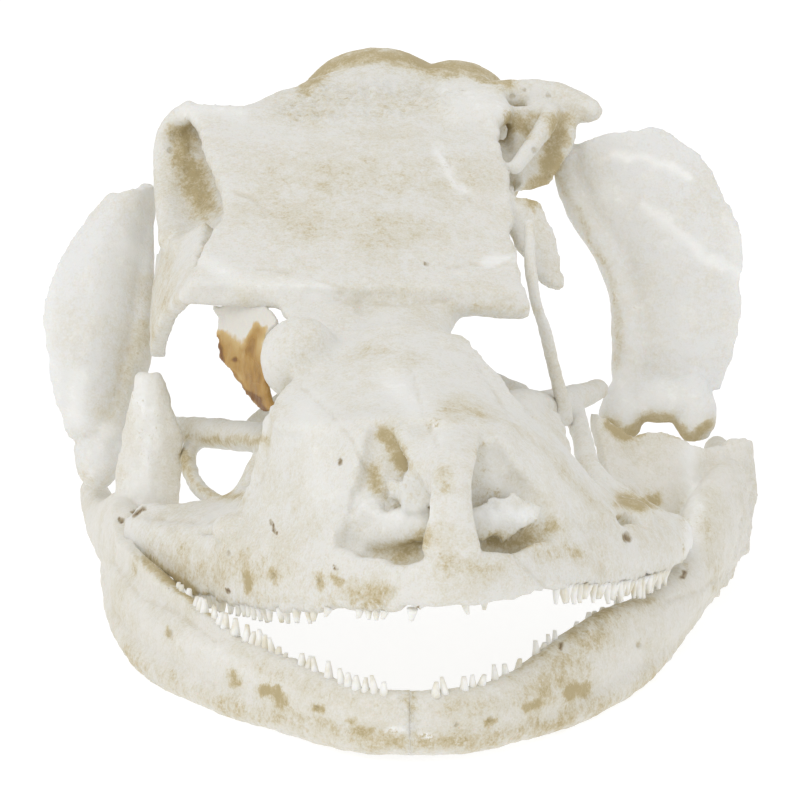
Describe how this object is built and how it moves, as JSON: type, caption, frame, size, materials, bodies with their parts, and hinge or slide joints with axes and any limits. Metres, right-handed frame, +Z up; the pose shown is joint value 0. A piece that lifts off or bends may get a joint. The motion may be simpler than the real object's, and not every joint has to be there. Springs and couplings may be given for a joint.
{
  "type": "leopard gecko skull",
  "caption": "Dry lizard skull, mouth ajar: sloped roof plate, open eye sockets, shell-shaped quadrates and a toothed lower jaw in two halves.",
  "frame": {"origin": "centre of the footprint, on the surface that the skull rests on", "axes": "X to the animal's left, Y from the snout to the back of the head, Z up"},
  "size_m": [0.0196, 0.0264, 0.0132],
  "materials": {
    "bone": "matte, ivory with tan hollows",
    "thin_bone": "satin, greyish white where the bone is thin",
    "jaw_bone": "matte, ivory with tan hollows",
    "dried_tissue": "satin, amber"
  },
  "bodies": {
    "root": {"cranium": "bone", "quadrate_right": "thin_bone", "quadrate_left": "thin_bone", "epipterygoid_left": "bone", "jaw_right": "jaw_bone", "jaw_left": "jaw_bone", "dried_tissue": "dried_tissue"}
  },
  "joints": []
}
